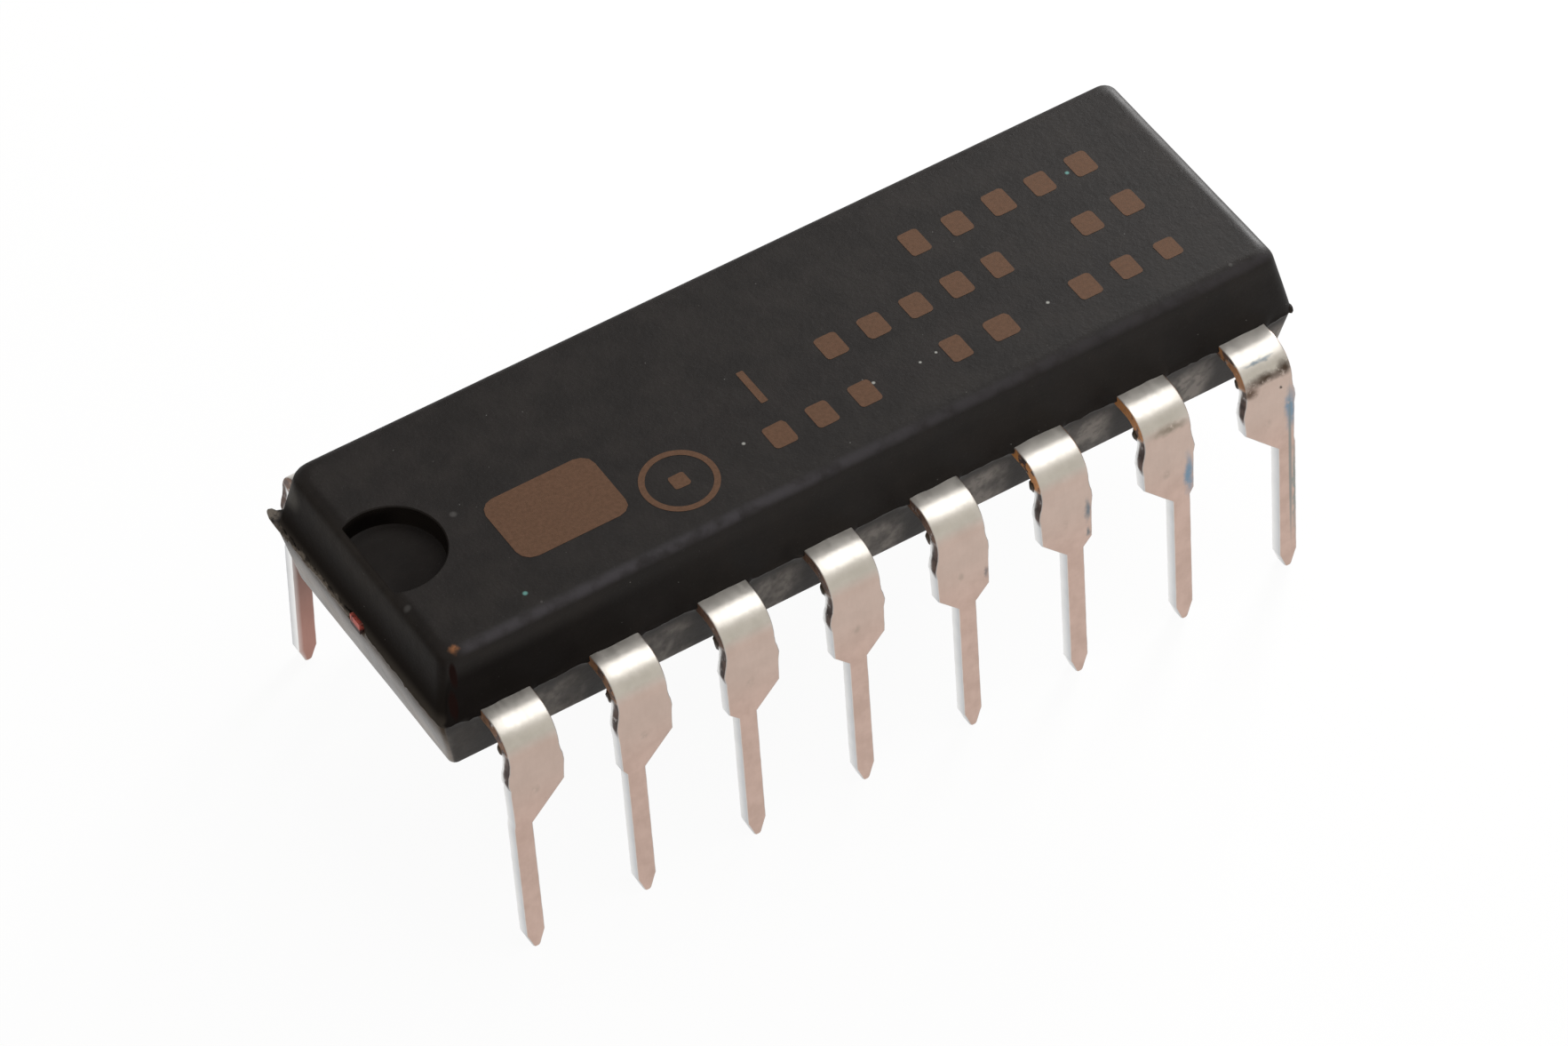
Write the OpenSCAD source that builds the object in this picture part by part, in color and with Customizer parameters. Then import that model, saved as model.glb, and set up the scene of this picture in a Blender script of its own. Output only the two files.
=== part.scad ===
// Dual in-line integrated circuit chip with sixteen leads, in millimetres.
// X runs along the rows of leads, away from the notched end.
// Y runs from the near row to the far row. Z is up, and the lead tips stand on z = 0.
// Pins 1 to 8 are the near row from the notched end; pins 9 to 16 come back along the far row.
// Pins 4, 5, 12 and 13 are one piece with the pad that carries the die.

/* [Moulded body] */
// Length of the body at its parting line
body_len = 19.7; // [19.3:0.1:20]
// Width of the body at its parting line
body_w = 6.5; // [6.1:0.1:7.1]
// Height of the body, parted halfway
body_t = 3.18; // [3:0.02:3.6]
// Draft of all four walls, in degrees
draft = 11; // [5:1:13]
// Rounding along the top edges
top_round = 0.3; // [0.1:0.05:0.4]
// Rounding along the bottom edges
bottom_round = 0.2; // [0.05:0.05:0.3]
// Rounding of the upright corners at the notched end
corner_notch_end = 0.32; // [0.1:0.02:0.5]
// Rounding of the upright corners at the plain end
corner_plain_end = 0.26; // [0.1:0.02:0.5]
// How far the flash at the parting line stands out
flash_out = 0.03; // [0.02:0.01:0.08]

/* [Notch] */
// Radius of the round recess that marks the pin 1 end
notch_r = 1.11; // [0.8:0.01:1.3]
// Depth of the recess
notch_deep = 0.5; // [0.2:0.05:0.6]
// Lip left between the recess and the top end edge
notch_lip = 0.09; // [0.06:0.01:0.3]
// Distance from the top end edge to the recess's centre
notch_in = 0.57; // [0.4:0.01:0.8]

/* [Leads] */
// Distance from pin to pin along a row
pin_pitch = 2.54; // [2.5,2.54]
// How much less than the pins' pitch the pitch of the wide parts is
pitch_less = 0.115; // [0.04:0.005:0.14]
// Thickness of the lead frame
lead_t = 0.28; // [0.2:0.02:0.36]
// Width of a pin
pin_w = 0.42; // [0.36:0.02:0.56]
// Width of a lead's wide part, between the seating shoulder and the dam bar
wide_w = 1.19; // [1:0.01:1.3]
// Width of a lead above the dam bar, round the bend and through the wall of the body
neck_w = 1.11; // [0.96:0.01:1.3]
// Length of a pin from its tip to the seating shoulder
pin_len = 3.42; // [2.92:0.02:3.8]
// Height of the body's underside above the seating shoulder
standoff = 0.74; // [0.52:0.02:1.2]
// Outer radius of the bend
bend_r = 0.72; // [0.5:0.02:0.76]
// Reach of a lead's outer face beyond the parting line, at the top of the lead
lead_reach = 1.04; // [0.9:0.02:1.3]
// Outward lean of the pins, in degrees
splay = 2.8; // [0:0.2:6]
// Length of the point at the end of a pin
tip_len = 0.38; // [0.1:0.02:0.6]
// Width of a pin's end
tip_w = 0.17; // [0.1:0.01:0.3]
// How far the cut ends of the dam bar stand out
dam_out = 0.05; // [0.02:0.01:0.1]
// Height of those cut ends
dam_h = 0.5; // [0.3:0.02:0.6]

/* [Inside the body] */
// Length of the pad that carries the die
pad_len = 4.6; // [3.6:0.1:5]
// Width of that pad
pad_w = 3.1; // [2.6:0.1:3.3]
// Width of an inner finger
finger_w = 0.38; // [0.3:0.02:0.4]
// Least gap between inner fingers
finger_gap = 0.22; // [0.18:0.01:0.24]
// Width of the tie bar that runs out at each end
tie_w = 0.36; // [0.3:0.02:0.5]
// Length of the die
die_len = 3; // [2.4:0.1:3.2]
// Width of the die
die_w = 2.1; // [1.8:0.1:2.3]
// Thickness of the die
die_t = 0.35; // [0.2:0.05:0.5]
// Thickness of the bond between die and pad
attach_t = 0.03; // [0.02:0.01:0.06]
// Radius of a bond wire
wire_r = 0.025; // [0.02:0.005:0.04]
// Rise of a bond wire above the straight line between its ends
wire_rise = 0.36; // [0.25:0.01:0.45]

/* [Hidden] */
per_row = 8;
half_row = (per_row + 1) / 2;
wide_pitch = pin_pitch - pitch_less;
body_z = pin_len + standoff;
half_t = body_t / 2;
part_z = body_z + half_t;
half_len = body_len / 2;
half_w = body_w / 2;
top_half_len = half_len - half_t * tan(draft);
flash_t = 0.04;
lead_low = part_z - lead_t / 2;
lead_top = part_z + lead_t / 2;
// outer face of a lead where its line meets the top of the lead frame
face_y = half_w + lead_reach;
bend_y = face_y - bend_r * (1 - sin(splay)) / cos(splay);
bend_z = lead_top - bend_r;
leg_top = bend_z + bend_r * sin(splay);
tip_ease = 0.04;
// the dam bar's cut ends lie below the bend and above the longest slope from a pin to its wide part
longest_step = (wide_w - pin_w) / 2 + (half_row - 1) * pitch_less;
dam_top = leg_top - 0.2;
dam_z = max(dam_top - dam_h, pin_len + longest_step + 0.04);
dam_slope = min(dam_out, (dam_top - dam_z) / 3);
// inside
root_in = 0.7;
root_y = half_w - root_in;
finger_x = pad_len / 2 + 0.3;
elbow = 0.15;
tab_half = 0.5 * wide_pitch + neck_w / 2;
lock_r = 0.32 * (root_y - pad_w / 2);
lock_y = (pad_w / 2 + root_y) / 2;
tie_out = 0.02;
die_z = lead_top + attach_t;
die_top = die_z + die_t;
bond_h = 2 * wire_r + 0.01;
ball_r = 2.4 * wire_r;
stitch_r = 3 * wire_r;
bond_in = 0.12;
bond_step = 0.28;
round_fn = 32;
arc_fn = 48;
wire_fn = 14;
resin = [0.17, 0.165, 0.16];
tin = [0.76, 0.74, 0.71];
copper = [0.72, 0.45, 0.32];
silicon = [0.36, 0.38, 0.42];
solder = [0.55, 0.56, 0.58];
gold = [0.83, 0.66, 0.28];

function pin_x(i) = (i - half_row) * pin_pitch;
function wide_x(i) = (i - half_row) * wide_pitch;
// place of near-row pin i counted from its nearer end, and the distance of its finger from the middle
function from_end(i) = i < half_row ? i : per_row + 1 - i;
function finger_row(k) = tie_w / 2 + k * finger_gap + (k - 0.5) * finger_w;

// lays a drawing in Y and Z, and extrudes it along X
module along_x(len) rotate([90, 0, 90]) linear_extrude(len, center = true) children();
// lays a drawing in X and Z, and extrudes it along Y
module along_y(len) rotate([90, 0, 0]) linear_extrude(len, center = true) children();

// one half of the mould: a drafted outline with its two outer corners rounded
module half_outline(half, r) {
    x = half - half_t * tan(draft);
    cut = r / tan((90 + draft) / 2);
    difference() {
        polygon([[-half, 0], [half, 0], [x, half_t], [-x, half_t]]);
        for (s = [-1, 1])
            difference() {
                polygon([[s * (x - cut), half_t],
                         [s * (x + r), half_t + r],
                         [s * (x + cut * sin(draft)), half_t - cut * cos(draft)]]);
                translate([s * (x - cut), half_t - r]) circle(r, $fn = round_fn);
            }
    }
}

// what comes off one upright corner: its axis follows the line where the two walls meet
module corner_cut(r) {
    half = (180 - acos(sin(draft) * sin(draft))) / 2;
    t = r / tan(half);
    lean = atan(tan(draft) * sqrt(2));
    translate([half_len, half_w, 0]) rotate([0, lean, 225])
        translate([0, 0, -1]) linear_extrude(half_t + 3) difference() {
            polygon([[t * cos(half), t * sin(half)], [-2, 0], [t * cos(half), -t * sin(half)]]);
            translate([r / sin(half), 0]) circle(r, $fn = round_fn);
        }
}

module half_body(r) {
    difference() {
        intersection() {
            along_x(body_len + 2) half_outline(half_w, r);
            along_y(body_w + 2) half_outline(half_len, r);
        }
        for (s = [-1, 1]) {
            mirror([0, s < 0 ? 1 : 0, 0]) corner_cut(corner_plain_end);
            mirror([0, s < 0 ? 1 : 0, 0]) mirror([1, 0, 0]) corner_cut(corner_notch_end);
        }
    }
}

// thin flash all round the parting line
module flash() {
    l = half_len + flash_out;
    w = half_w + flash_out;
    r = corner_notch_end;
    translate([0, 0, part_z - flash_t / 2]) linear_extrude(flash_t) union() {
        square([2 * l, 2 * (w - r)], center = true);
        square([2 * (l - r), 2 * w], center = true);
        for (x = [-1, 1], y = [-1, 1])
            translate([x * (l - r), y * (w - r)]) circle(r, $fn = round_fn);
    }
}

// round recess whose side next to the end is straight, behind a thin lip
module notch() {
    top_z = body_z + body_t;
    x = -top_half_len + notch_lip;
    translate([0, 0, top_z - notch_deep])
        intersection() {
            translate([-top_half_len + notch_in, 0, 0]) cylinder(h = 1, r = notch_r, $fn = arc_fn);
            translate([x, -notch_r - 1, -1]) cube([2 * notch_r + 2, 2 * notch_r + 2, 3]);
        }
}

// flat part of a signal lead: broad root through the wall, then a finger to the pad
module finger_plan(i) {
    s = i < half_row ? -1 : 1;
    row = finger_row(from_end(i));
    x = abs(wide_x(i));
    out = x + neck_w / 2;
    in = x - neck_w / 2;
    back = in + finger_w;
    near = -row - finger_w / 2;
    far = -row + finger_w / 2;
    polygon([[s * out, -bend_y], [s * out, -root_y], [s * back, -root_y + (out - back) * 0.6],
             [s * back, far - elbow], [s * (back - elbow), far], [s * finger_x, far],
             [s * finger_x, near], [s * (in - elbow / 2), near], [s * in, near - elbow / 2],
             [s * in, -bend_y]]);
}

module signal_flat(i) {
    translate([0, 0, lead_low]) linear_extrude(lead_t) finger_plan(i);
}

// side view of a lead's bent part, grown inwards by d from its outer face
module bent_side(d, bottom) {
    r = bend_r - d;
    y = -bend_y - r * (1 - sin(splay)) / cos(splay);
    z = bend_z + r;
    difference() {
        polygon([[0, bottom], [0, z], [y, z], [y - (z - bottom) * tan(splay), bottom]]);
        difference() {
            polygon([[-bend_y, z], [y - 1, z + 1], [-bend_y - r * cos(splay), bend_z + r * sin(splay)]]);
            translate([-bend_y, bend_z]) circle(r, $fn = arc_fn);
        }
    }
}

// front view of a lead outside the body: point, pin, shoulders, wide part, dam bar ends and neck
module lead_front(i) {
    p = pin_x(i);
    w = wide_x(i);
    hp = pin_w / 2;
    hw = wide_w / 2;
    hn = neck_w / 2;
    left = abs((p - hp) - (w - hw));
    right = abs((w + hw) - (p + hp));
    d = w + hw + dam_out;
    e = w - hw - dam_out;
    polygon([[p - tip_w / 2, 0], [p + tip_w / 2, 0],
             [p + hp - tip_ease, tip_len - 2 * tip_ease], [p + hp, tip_len],
             [p + hp, pin_len], [w + hw, pin_len + right],
             [w + hw, dam_z], [d, dam_z + dam_slope], [d, dam_top - dam_slope], [w + hn, dam_top],
             [w + hn, lead_top + 1], [w - hn, lead_top + 1],
             [w - hn, dam_top], [e, dam_top - dam_slope], [e, dam_z + dam_slope], [w - hw, dam_z],
             [w - hw, pin_len + left], [p - hp, pin_len],
             [p - hp, tip_len], [p - hp + tip_ease, tip_len - 2 * tip_ease]]);
}

// near-row lead from its root inside the wall to its tip on z = 0
module lead_outside(i) {
    intersection() {
        translate([wide_x(i), 0, 0]) along_x(wide_w + 2) difference() {
            bent_side(0, 0);
            bent_side(lead_t, -1);
        }
        translate([0, -half_w - 2, 0]) along_y(2 * (root_in + 2)) lead_front(i);
    }
}

module near_lead(i) {
    union() {
        signal_flat(i);
        lead_outside(i);
    }
}

// pad, its two tabs with the roots of pins 4, 5, 12 and 13, and the end tie bars
module ground_plan() {
    difference() {
        union() {
            square([pad_len, pad_w], center = true);
            square([2 * tab_half, 2 * root_y], center = true);
            square([body_len + 2 * tie_out, tie_w], center = true);
            for (s = [-1, 1], w = [wide_x(4), wide_x(5)])
                translate([w - neck_w / 2, s > 0 ? root_y - 0.1 : -bend_y])
                    square([neck_w, bend_y - root_y + 0.1]);
        }
        for (s = [-1, 1]) translate([0, s * lock_y]) circle(lock_r, $fn = round_fn);
    }
}

module ground_flat() {
    translate([0, 0, lead_low]) linear_extrude(lead_t) ground_plan();
}

// a bond wire from a, on the die, to b, on the lead frame: ball, arc and stitch
module wire_between(a, b) {
    run = norm([b[0] - a[0], b[1] - a[1]]);
    za = die_top + bond_h / 2;
    zb = lead_top + bond_h / 2;
    fall = za - zb;
    chord = norm([run, fall]);
    r = (chord * chord / 4 + wire_rise * wire_rise) / (2 * wire_rise);
    half = asin(chord / 2 / r);
    tilt = atan(fall / run);
    depth = r - wire_rise;
    translate([a[0], a[1], die_top]) cylinder(h = bond_h, r = ball_r, $fn = wire_fn);
    translate([b[0], b[1], lead_top]) cylinder(h = bond_h, r = stitch_r, $fn = wire_fn);
    translate([a[0], a[1], za]) rotate([0, 0, atan2(b[1] - a[1], b[0] - a[0])])
        translate([run / 2 - depth * sin(tilt), 0, -fall / 2 - depth * cos(tilt)])
            rotate([90, 0, 0]) rotate([0, 0, 90 - tilt - half])
                rotate_extrude(angle = 2 * half, $fn = round_fn)
                    translate([r, 0]) circle(wire_r, $fn = wire_fn);
}

// wire of a near-row lead; pins 4 and 5 are bonded down to their tab
module near_wire(i) {
    s = i < half_row ? -1 : 1;
    k = from_end(i);
    y = -die_w / 2 + bond_in;
    if (k < 4)
        wire_between([s * (die_len / 2 - bond_in), y + (3 - k) * bond_step],
                     [s * (finger_x + 0.2), -finger_row(k)]);
    else
        wire_between([s * 0.8, y], [s * 0.95, -lock_y - 0.1]);
}

// the far row is the near row turned half round
module on_row(i) {
    rotate([0, 0, i > per_row ? 180 : 0]) children();
}
module any_lead(i) color(tin) on_row(i) near_lead(i > per_row ? i - per_row : i);
module any_flat(i) on_row(i) signal_flat(i > per_row ? i - per_row : i);
module any_wire(i) color(gold) on_row(i) near_wire(i > per_row ? i - per_row : i);

module die_block() {
    translate([-die_len / 2, -die_w / 2, die_z]) cube([die_len, die_w, die_t]);
}
module attach_block() {
    translate([-die_len / 2, -die_w / 2, lead_top]) cube([die_len, die_w, attach_t]);
}

module moulded_body() color(resin) difference() {
    union() {
        translate([0, 0, part_z]) half_body(top_round);
        translate([0, 0, part_z]) mirror([0, 0, 1]) half_body(bottom_round);
        flash();
    }
    notch();
    for (i = [1, 2, 3, 6, 7, 8, 9, 10, 11, 14, 15, 16]) any_flat(i);
    ground_flat();
    attach_block();
    die_block();
    for (i = [1 : 2 * per_row]) any_wire(i);
}

module ground_frame() color(tin) {
    ground_flat();
    for (i = [4, 5]) {
        lead_outside(i);
        rotate([0, 0, 180]) lead_outside(i);
    }
}
module die_attach() color(solder) attach_block();
module silicon_die() color(silicon) die_block();

moulded_body();
any_lead(1);  // lead_01
any_lead(2);  // lead_02
any_lead(3);  // lead_03
any_lead(6);  // lead_06
any_lead(7);  // lead_07
any_lead(8);  // lead_08
any_lead(9);  // lead_09
any_lead(10);  // lead_10
any_lead(11);  // lead_11
any_lead(14);  // lead_14
any_lead(15);  // lead_15
any_lead(16);  // lead_16
ground_frame();
die_attach();
silicon_die();
any_wire(1);  // bond_wire_01
any_wire(2);  // bond_wire_02
any_wire(3);  // bond_wire_03
any_wire(4);  // bond_wire_04
any_wire(5);  // bond_wire_05
any_wire(6);  // bond_wire_06
any_wire(7);  // bond_wire_07
any_wire(8);  // bond_wire_08
any_wire(9);  // bond_wire_09
any_wire(10);  // bond_wire_10
any_wire(11);  // bond_wire_11
any_wire(12);  // bond_wire_12
any_wire(13);  // bond_wire_13
any_wire(14);  // bond_wire_14
any_wire(15);  // bond_wire_15
any_wire(16);  // bond_wire_16
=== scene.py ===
"""Looks for the dual in-line chip: moulded body, tinned leads, generic marking, floor, light and camera.

Lengths are millimetres in the functions below and become metres when a mesh is made.
"""

import math

import bmesh
import bpy
from mathutils import Matrix, Vector, noise


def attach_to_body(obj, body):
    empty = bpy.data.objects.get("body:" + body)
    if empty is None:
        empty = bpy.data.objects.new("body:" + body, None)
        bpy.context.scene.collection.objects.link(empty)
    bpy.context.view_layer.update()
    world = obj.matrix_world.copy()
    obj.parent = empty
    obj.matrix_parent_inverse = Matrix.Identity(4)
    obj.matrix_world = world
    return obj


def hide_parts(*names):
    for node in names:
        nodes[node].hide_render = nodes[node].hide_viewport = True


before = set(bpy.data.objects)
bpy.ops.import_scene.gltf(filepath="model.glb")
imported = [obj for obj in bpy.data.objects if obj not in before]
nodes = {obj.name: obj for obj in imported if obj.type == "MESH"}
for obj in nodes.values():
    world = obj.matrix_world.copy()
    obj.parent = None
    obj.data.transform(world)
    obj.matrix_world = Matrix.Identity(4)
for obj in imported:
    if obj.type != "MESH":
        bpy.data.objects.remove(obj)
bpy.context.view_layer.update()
MM = 0.001

# sizes, as in the CAD source
BODY_HALF_L, BODY_HALF_W = 9.85, 3.25
PART_Z, BODY_TOP = 5.75, 7.34
HALF_T = BODY_TOP - PART_Z
DRAFT = math.radians(11)
TOP_ROUND, BOTTOM_ROUND = 0.3, 0.2
# corner radii, from the notched end's near corner round to its far corner, above and below the parting line
UPPER_CORNERS, LOWER_CORNERS = (0.24, 0.26, 0.26, 0.42), (0.15, 0.26, 0.26, 0.20)
NOTCH_R, NOTCH_DEEP, NOTCH_X, NOTCH_FLAT_X = 1.11, 0.5, -8.97, -9.45
PIN_PITCH, WIDE_PITCH = 2.54, 2.425
LEAD_T, PIN_W, WIDE_W, NECK_W = 0.28, 0.42, 1.19, 1.11
PIN_LEN, BEND_R, REACH = 3.42, 0.72, 1.04
SPLAY = math.radians(2.8)
TIP_LEN, TIP_W = 0.38, 0.17
DAM_OUT, DAM_H = 0.05, 0.5
LEAD_TOP = PART_Z + LEAD_T / 2
BEND_Y = BODY_HALF_W + REACH - BEND_R * (1 - math.sin(SPLAY)) / math.cos(SPLAY)
BEND_Z = LEAD_TOP - BEND_R
LEG_TOP = BEND_Z + BEND_R * math.sin(SPLAY)
DAM_TOP = LEG_TOP - 0.2
DAM_Z = DAM_TOP - DAM_H
# the skin's top lies this much lower, so that the marks stand proud within the body's height
SKIN_DROP = 0.005
ROOT_Y = 3.0  # a lead's part from the CAD solid ends here, and the modelled leg begins
LONGEST = 9.875  # the parting line's flash reaches no further than this from the middle
END_X = 9.4  # from here outwards the body's wall is an end wall
MIDDLE_LEAD = 4.5  # leads 1 to 8 of a row lie evenly about this number
GROUND_LEADS = (4, 5)  # of each row; they are one piece with the pad
ABOVE_BEND = 8.0  # stands for any height above the bend, where a lead has its neck's width
SHARP = 35.0  # edges that turn by more degrees than this are shaded sharp
WELD = 1e-8  # metres; vertices closer than this become one

# dust grains on the top face: place, radius and tint
TEAL, PALE, DULL = (0.10, 0.24, 0.22), (0.30, 0.30, 0.28), (0.05, 0.047, 0.045)
GRAINS = [(7.35, 1.15, 0.06, TEAL), (-7.4, -2.4, 0.07, TEAL), (-7.25, -2.75, 0.04, DULL),
          (1.05, -1.5, 0.05, PALE), (2.1, -1.55, 0.04, PALE), (2.5, -1.5, 0.04, PALE),
          (5.05, -1.6, 0.05, PALE), (-1.9, -1.45, 0.05, PALE), (8.6, -2.75, 0.06, DULL),
          (-7.5, 0.1, 0.10, DULL), (-9.45, -1.45, 0.11, DULL)]
# stains, and painted glints (GLINT), on the near leads' outer faces: centre, radii and tint
BLUE, SOOT, GLINT = (0.17, 0.26, 0.35), (0.075, 0.050, 0.034), (0.90, 0.58, 0.22)
STAINS_AND_GLINTS = [((8.97, -4.36, 4.40), (0.17, 0.2, 0.80), BLUE),
          ((9.06, -4.45, 2.2), (0.06, 0.5, 1.9), (0.27, 0.29, 0.27)),
          ((8.42, -4.30, 5.50), (0.80, 0.3, 0.15), SOOT),
          ((8.90, -4.27, 5.54), (0.27, 0.3, 0.24), SOOT),
          ((8.05, -4.32, 5.32), (0.26, 0.2, 0.22), (0.13, 0.085, 0.062)),
          ((8.75, -4.33, 5.11), (0.06, 0.1, 0.06), (0.02, 0.015, 0.012)),
          ((8.42, -3.99, 5.78), (0.52, 0.06, 0.08), (0.22, 0.27, 0.31)),
          ((6.53, -4.38, 4.0), (0.15, 0.2, 0.78), BLUE),
          ((6.12, -4.30, 5.43), (0.66, 0.2, 0.14), (0.30, 0.25, 0.20)),
          ((4.13, -4.36, 4.40), (0.10, 0.2, 0.40), (0.17, 0.19, 0.21)),
          ((4.14, -4.40, 3.80), (0.08, 0.2, 0.20), (0.20, 0.20, 0.20)),
          ((1.74, -4.38, 4.08), (0.09, 0.2, 0.22), (0.24, 0.20, 0.19)),
          ((0.64, -4.02, 5.20), (0.07, 0.07, 0.07), GLINT),
          ((-8.99, -4.00, 5.22), (0.06, 0.06, 0.06), GLINT),
          ((-4.19, -3.99, 5.24), (0.06, 0.06, 0.06), GLINT)]
# how far bare copper shows on the flanks of some near leads
COPPER = {1: 0.25, 2: 0.35, 6: 1.0, 7: 0.8, 8: 0.6}


def make_object(name, verts, faces, materials, smooth_below=SHARP, values=None):
    """A mesh object that rides on the root body. verts are millimetres."""
    mesh = bpy.data.meshes.new(name)
    mesh.from_pydata([Vector(v) * MM for v in verts], [], faces)
    for m in materials:
        mesh.materials.append(m)
    for key, data in (values or {}).items():
        mesh.attributes.new(key, "FLOAT", "POINT").data.foreach_set("value", data)
    clean(mesh)
    mesh.shade_smooth()
    mesh.set_sharp_from_angle(angle=math.radians(smooth_below))
    obj = bpy.data.objects.new(name, mesh)
    bpy.context.scene.collection.objects.link(obj)
    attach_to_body(obj, "root")
    return obj


def clean(mesh):
    """Joins doubled vertices and turns all faces outwards."""
    bm = bmesh.new()
    bm.from_mesh(mesh)
    bmesh.ops.remove_doubles(bm, verts=bm.verts, dist=WELD)
    bmesh.ops.recalc_face_normals(bm, faces=bm.faces)
    bm.to_mesh(mesh)
    bm.free()


def wobble(x, y=0.0, z=0.0):
    """Smooth repeatable noise from -1 to 1; its waves are about as long as one unit."""
    return noise.noise(Vector((x, y, z)))


def piecewise(points, z):
    """Value at z of the line through (z, value) points, which run downwards in z."""
    for (za, a), (zb, b) in zip(points, points[1:]):
        if za >= z >= zb:
            return a if za == zb else a + (b - a) * (za - z) / (za - zb)
    return points[0][1] if z > points[0][0] else points[-1][1]


def limit(value, low=0.0, high=1.0):
    """value, held between low and high."""
    return max(low, min(high, value))


def stacked(count, rings):
    """Faces of a closed solid whose vertices come ring after ring, from its foot up, count in each ring."""
    faces = []
    for r in range(rings - 1):
        for k in range(count):
            a, b = r * count + k, r * count + (k + 1) % count
            faces.append((a, b, b + count, a + count))
    return faces + [tuple(reversed(range(count))), tuple(range((rings - 1) * count, rings * count))]


def join(verts, faces, more_verts, more_faces):
    """Adds a part's vertices and faces to the lists verts and faces."""
    faces += [tuple(k + len(verts) for k in face) for face in more_faces]
    verts += more_verts


def rgba(value):
    """A plain colour with its alpha; anything else stays as it is."""
    return (*value, 1.0) if isinstance(value, tuple) and len(value) == 3 else value


class Tree:
    """Short calls for building the node tree of a material or a world."""

    def __init__(self, owner, output):
        owner.use_nodes = True
        self.tree = owner.node_tree
        self.tree.nodes.clear()
        self.out = self.new(output)

    def new(self, kind):
        return self.tree.nodes.new(kind)

    def link(self, value, socket):
        """Joins a node's output to a socket, or sets the socket to a plain value."""
        if isinstance(value, bpy.types.NodeSocket):
            self.tree.links.new(value, socket)
        elif value is not None:
            socket.default_value = value

    def math(self, op, a, b=None, clamp=False):
        n = self.new("ShaderNodeMath")
        n.operation, n.use_clamp = op, clamp
        self.link(a, n.inputs[0])
        self.link(b, n.inputs[1])
        return n.outputs[0]

    def times(self, *values):
        """The product of all values."""
        product = values[0]
        for v in values[1:]:
            product = self.math("MULTIPLY", product, v)
        return product

    def most(self, *values):
        """The largest of all values."""
        highest = values[0]
        for v in values[1:]:
            highest = self.math("MAXIMUM", highest, v)
        return highest

    def ramp(self, value, low, high, to_low=0.0, to_high=1.0, smooth=True):
        """value taken from low..high to to_low..to_high, and held there beyond both ends."""
        n = self.new("ShaderNodeMapRange")
        n.interpolation_type = "SMOOTHSTEP" if smooth else "LINEAR"
        for k, v in zip(("Value", "From Min", "From Max", "To Min", "To Max"),
                        (value, low, high, to_low, to_high)):
            self.link(v, n.inputs[k])
        return n.outputs["Result"]

    def axis(self, vector, k):
        """One coordinate of a vector: 0, 1 or 2 for x, y or z."""
        n = self.new("ShaderNodeSeparateXYZ")
        self.link(vector, n.inputs[0])
        return n.outputs[k]


class Nodes(Tree):
    """A new material's node tree. Positions in it are millimetres in the CAD frame."""

    def __init__(self, name):
        self.material = bpy.data.materials.new(name)
        super().__init__(self.material, "ShaderNodeOutputMaterial")
        self.mm = self.vector("SCALE", self.new("ShaderNodeTexCoord").outputs["Object"], scale=1 / MM)

    def vector(self, op, a, b=None, scale=None):
        n = self.new("ShaderNodeVectorMath")
        n.operation = op
        self.link(a, n.inputs[0])
        self.link(b, n.inputs[1])
        if scale is not None:
            self.link(scale, n.inputs["Scale"])
        return n.outputs["Value" if op == "LENGTH" else "Vector"]

    def noise(self, scale, detail=3.0, rough=0.55, stretch=(1, 1, 1), offset=(0, 0, 0)):
        """Cloudy noise around 0.5; scale is about the number of clouds to a millimetre."""
        n = self.new("ShaderNodeTexNoise")
        where = self.vector("MULTIPLY", self.mm, stretch)
        self.link(self.vector("ADD", where, offset), n.inputs["Vector"])
        for key, value in (("Scale", scale), ("Detail", detail), ("Roughness", rough)):
            self.link(value, n.inputs[key])
        return n.outputs["Fac"]

    def cells(self, scale):
        """Distance from the nearest of many scattered points."""
        n = self.new("ShaderNodeTexVoronoi")
        self.link(self.mm, n.inputs["Vector"])
        self.link(scale, n.inputs["Scale"])
        return n.outputs["Distance"]

    def warped(self, amount, scale):
        """Positions pushed about by noise, for uneven outlines."""
        n = self.new("ShaderNodeTexNoise")
        for key, value in (("Vector", self.mm), ("Scale", scale), ("Detail", 3.0)):
            self.link(value, n.inputs[key])
        shift = self.vector("SUBTRACT", n.outputs["Color"], (0.5, 0.5, 0.5))
        return self.vector("ADD", self.mm, self.vector("SCALE", shift, scale=amount))

    def blob(self, centre, radii, soft=0.5, where=None):
        """1 inside an ellipsoid, falling to 0 at its surface."""
        d = self.vector("SUBTRACT", where or self.mm, centre)
        d = self.vector("DIVIDE", d, radii)
        return self.ramp(self.vector("LENGTH", d), 1.0, 1.0 - soft)

    def attribute(self, name):
        """A value that the mesh stores for each vertex."""
        n = self.new("ShaderNodeAttribute")
        n.attribute_name = name
        return n.outputs["Fac"]

    def mix(self, factor, a, b):
        """Colour a where factor is 0, colour b where it is 1."""
        n = self.new("ShaderNodeMix")
        n.data_type = "RGBA"
        self.link(factor, n.inputs["Factor"])
        self.link(rgba(a), n.inputs[6])
        self.link(rgba(b), n.inputs[7])
        return n.outputs[2]

    def bump(self, height, distance, strength=1.0, normal=None):
        """A normal bent by height, on top of another one if given; distance is millimetres."""
        n = self.new("ShaderNodeBump")
        for key, value in (("Strength", strength), ("Distance", distance * MM), ("Height", height),
                           ("Normal", normal)):
            self.link(value, n.inputs[key])
        return n.outputs["Normal"]

    def surface(self, **inputs):
        """Ends the tree with a principled shader. Its inputs are named like the sockets, with _ for a space."""
        n = self.new("ShaderNodeBsdfPrincipled")
        for key, value in inputs.items():
            self.link(rgba(value), n.inputs[key.replace("_", " ")])
        self.link(n.outputs[0], self.out.inputs["Surface"])


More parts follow.
